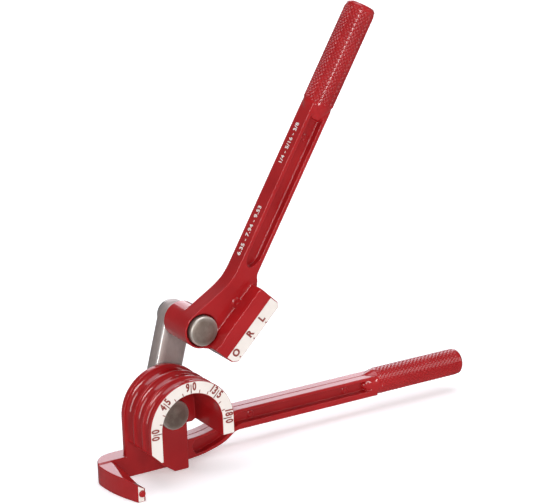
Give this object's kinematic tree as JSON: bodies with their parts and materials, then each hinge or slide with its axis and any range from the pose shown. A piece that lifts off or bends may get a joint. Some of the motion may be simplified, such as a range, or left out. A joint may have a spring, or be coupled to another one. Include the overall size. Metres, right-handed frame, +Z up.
{
  "type": "manual tube bender",
  "caption": "Hand lever tube bender with a grooved half-round mandrel, a hook, a steel link and a swinging forming handle with a grooved shoe.",
  "frame": {"origin": "lower pivot axis, in the plane of the mandrel flange's rear face; this is the centre of the bend", "axes": "+X along the lower handle towards its grip, +Y away from the scale side along both pivot pins, +Z up"},
  "size_m": [0.2271, 0.05, 0.2339],
  "materials": {
    "red_paint": "gloss red enamel over a die casting",
    "link_steel": "ground flat bar, nickel plated",
    "pin_steel": "turned, dull plated",
    "washer_steel": "zinc plated",
    "spring_steel": "blackened",
    "white_label": "printed film"
  },
  "bodies": {
    "lower_body": {"mandrel_handle": "red_paint", "degree_scale": "white_label", "hook_label": "white_label"},
    "link": {"link_bar": "link_steel", "pivot_pin_lower": "pin_steel", "pivot_pin_upper": "pin_steel", "thrust_washers": "washer_steel", "back_washers": "washer_steel", "retaining_rings": "spring_steel"},
    "forming_body": {"forming_handle": "red_paint", "shoe_scale": "white_label"}
  },
  "joints": [
    {"name": "link_swing", "type": "hinge", "parent": "lower_body", "child": "link", "pos_m": [0, 0, 0], "axis": [0, 1, 0], "range_deg": [-107.3, 73.3]},
    {"name": "forming_handle_swing", "type": "hinge", "parent": "link", "child": "forming_body", "pos_m": [0.01275, 0, 0.04599], "axis": [0, 1, 0], "range_deg": [-100, 62.4]}
  ]
}
